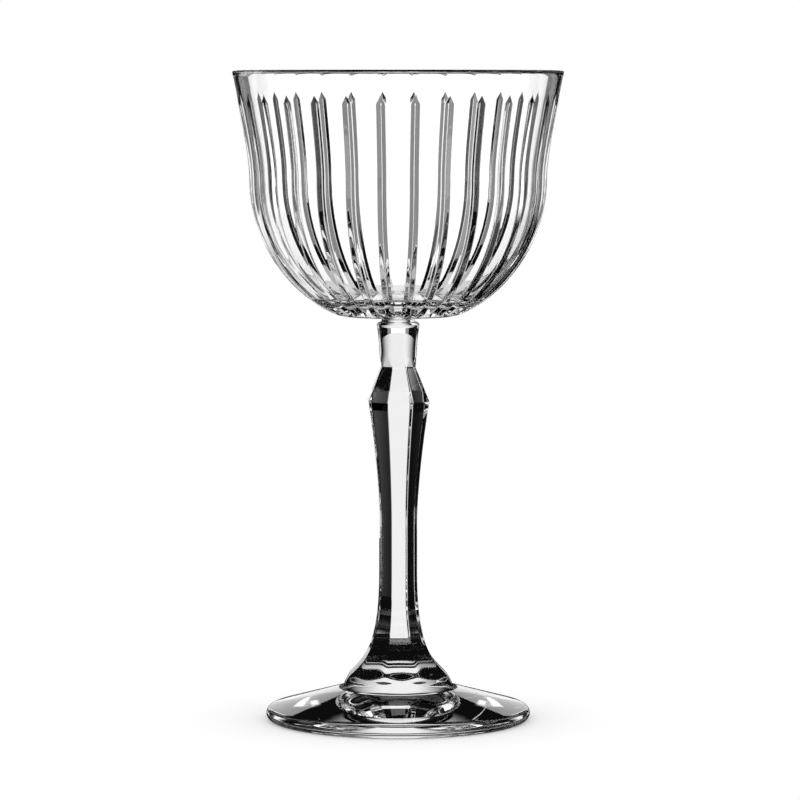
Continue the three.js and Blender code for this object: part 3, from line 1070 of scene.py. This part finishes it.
# %% Cards behind the bowl
FAR_CARD_BEHIND = 400 * MM
FAR_CARD_LOW = 55 * MM
FAR_CARD_TOP = 180 * MM
FAR_CARD_HALF = 95 * MM
FAR_CARD_SOFT = 2 * MM
FAR_GREY_HALF = 152 * MM
FAR_GREY_SOFT = 8 * MM
FAR_GREY_TOP = 215 * MM
FAR_GREY_LIGHT = 0.28
far_card = make_card("far_card", FAR_CARD_HALF, FAR_CARD_SOFT, CARD_LIGHT,
                     (FAR_CARD_BEHIND, FAR_CARD_LOW), (FAR_CARD_BEHIND, FAR_CARD_TOP))
far_grey = make_card("far_grey", FAR_GREY_HALF, FAR_GREY_SOFT, FAR_GREY_LIGHT,
                     (FAR_CARD_BEHIND + MM, FAR_CARD_LOW), (FAR_CARD_BEHIND + MM, FAR_GREY_TOP))
print(f"far card {2 * FAR_CARD_HALF / MM:.0f} mm wide, grey card {2 * FAR_GREY_HALF / MM:.0f} mm wide")

# %% Cards behind the stem and the neck
STEM_CARD_BEHIND = 140 * MM
STEM_CARD_TOP = 88.6 * MM
STEM_CARD_HALF = 40 * MM
STEM_CARD_SOFT = 29 * MM
STEM_CARD_LIGHT = 0.94
NECK_CARD_BEHIND = 70 * MM
NECK_CARD_LOW = 85.4 * MM
NECK_CARD_TOP = 98 * MM
NECK_CARD_HALF = 37 * MM
NECK_CARD_SOFT = 27 * MM
NECK_CARD_LIGHT = 0.92
STRIP_START = 38 * MM
STRIP_HALF = 14 * MM
STRIP_SOFT = 6 * MM
stem_card = make_card("stem_card", STEM_CARD_HALF, STEM_CARD_SOFT, STEM_CARD_LIGHT,
                      (STEM_CARD_BEHIND, 0), (STEM_CARD_BEHIND, STEM_CARD_TOP))
neck_card = make_card("neck_card", NECK_CARD_HALF, NECK_CARD_SOFT, NECK_CARD_LIGHT,
                      (NECK_CARD_BEHIND, NECK_CARD_LOW), (NECK_CARD_BEHIND, NECK_CARD_TOP))
floor_strip = make_card("floor_strip", STRIP_HALF, STRIP_SOFT, STEM_CARD_LIGHT,
                        (STRIP_START, 0), (STEM_CARD_BEHIND, 0))
print("cards", round(STEM_CARD_BEHIND / MM), "and", round(NECK_CARD_BEHIND / MM), "mm behind the axis")

# %% [markdown]
# ## A black shelf for the rim
# The rounded rim bends the light steeply down, and on the photograph it is a dark line. A
# black shelf slopes from the neck's card down to the far card. It catches that steep light and
# hides the stem's card from the bowl, while the panels look over it to the far card.

# %% Make the shelf
SHELF_FRONT_HALF = 36 * MM
SHELF_BACK_HALF = 160 * MM


def make_shelf():
    mesh = bpy.data.meshes.new("shelf")
    front = (NECK_CARD_BEHIND, NECK_CARD_TOP)
    back = (FAR_CARD_BEHIND, FAR_CARD_LOW)
    mesh.from_pydata([(-SHELF_FRONT_HALF, *front), (SHELF_FRONT_HALF, *front),
                      (SHELF_BACK_HALF, *back), (-SHELF_BACK_HALF, *back)], [], [(0, 1, 2, 3)])
    material, tree, _ = bare_material("shelf_black")
    glow_or_air(tree, 1.0, 0.0)
    return stage_piece("shelf", mesh, material)


shelf = make_shelf()
print("shelf from", round(NECK_CARD_TOP / MM), "down to", round(FAR_CARD_LOW / MM), "mm high")

# %% [markdown]
# ## What the surface mirrors
# The outside of the glass also mirrors what stands round it. If it mirrored all these cards
# the dark flutes would turn grey, so they are hidden from reflections, and one wide card that
# only reflections see gives the foot and the edges of the bowl their highlights.

# %% Hide the cards from reflections and add a mirror card
MIRROR_CARD_BEHIND = 375 * MM
MIRROR_CARD_TOP = 180 * MM
MIRROR_CARD_HALF = 147 * MM
MIRROR_CARD_SOFT = 8 * MM
for card in (wings, shelf, far_card, far_grey, stem_card, neck_card, floor_strip):
    card.visible_glossy = False
mirror_card = make_card("mirror_card", MIRROR_CARD_HALF, MIRROR_CARD_SOFT, CARD_LIGHT,
                        (MIRROR_CARD_BEHIND, 0), (MIRROR_CARD_BEHIND, MIRROR_CARD_TOP))
mirror_card.visible_transmission = False
print("mirror card", round(2 * MIRROR_CARD_HALF / MM), "mm wide")

# %% [markdown]
# ## The camera
# The rim is seen edge-on, so the camera stands level with it, about a metre away, and looks
# slightly down on the foot. A long lens keeps the upright lines nearly parallel.

# %% Place the camera
CAMERA_DISTANCE = 1021 * MM
CAMERA_HEIGHT = 162.3 * MM
AIM_HEIGHT = 77.6 * MM
AIM_ASIDE = 0.45 * MM
SENSOR_WIDTH = 36
LENS_LENGTH = 190.9
NEAREST_SEEN = 10 * MM
camera_data = bpy.data.cameras.new("camera")
camera_data.sensor_width = SENSOR_WIDTH
camera_data.lens = LENS_LENGTH
camera_data.clip_start = NEAREST_SEEN
camera = add_object("camera", camera_data)
camera.location = (AIM_ASIDE, -CAMERA_DISTANCE, CAMERA_HEIGHT)
aim = Vector((AIM_ASIDE, 0, AIM_HEIGHT)) - camera.location
camera.rotation_euler = aim.to_track_quat("-Z", "Y").to_euler()
bpy.context.scene.camera = camera
print("camera looks", round(math.degrees(math.asin(-aim.normalized().z)), 2), "degrees down")

# %% [markdown]
# ## Finish
# Light has to pass many surfaces of glass, so the limits on bounces go up, and colours are shown as they
# are.

# %% Settings and the end
GLASS_BOUNCES = 32
MIRROR_BOUNCES = 16
scene = bpy.context.scene
scene.cycles.max_bounces = GLASS_BOUNCES
scene.cycles.transmission_bounces = GLASS_BOUNCES
scene.cycles.glossy_bounces = MIRROR_BOUNCES
scene.cycles.transparent_max_bounces = GLASS_BOUNCES
scene.view_settings.view_transform = "Standard"
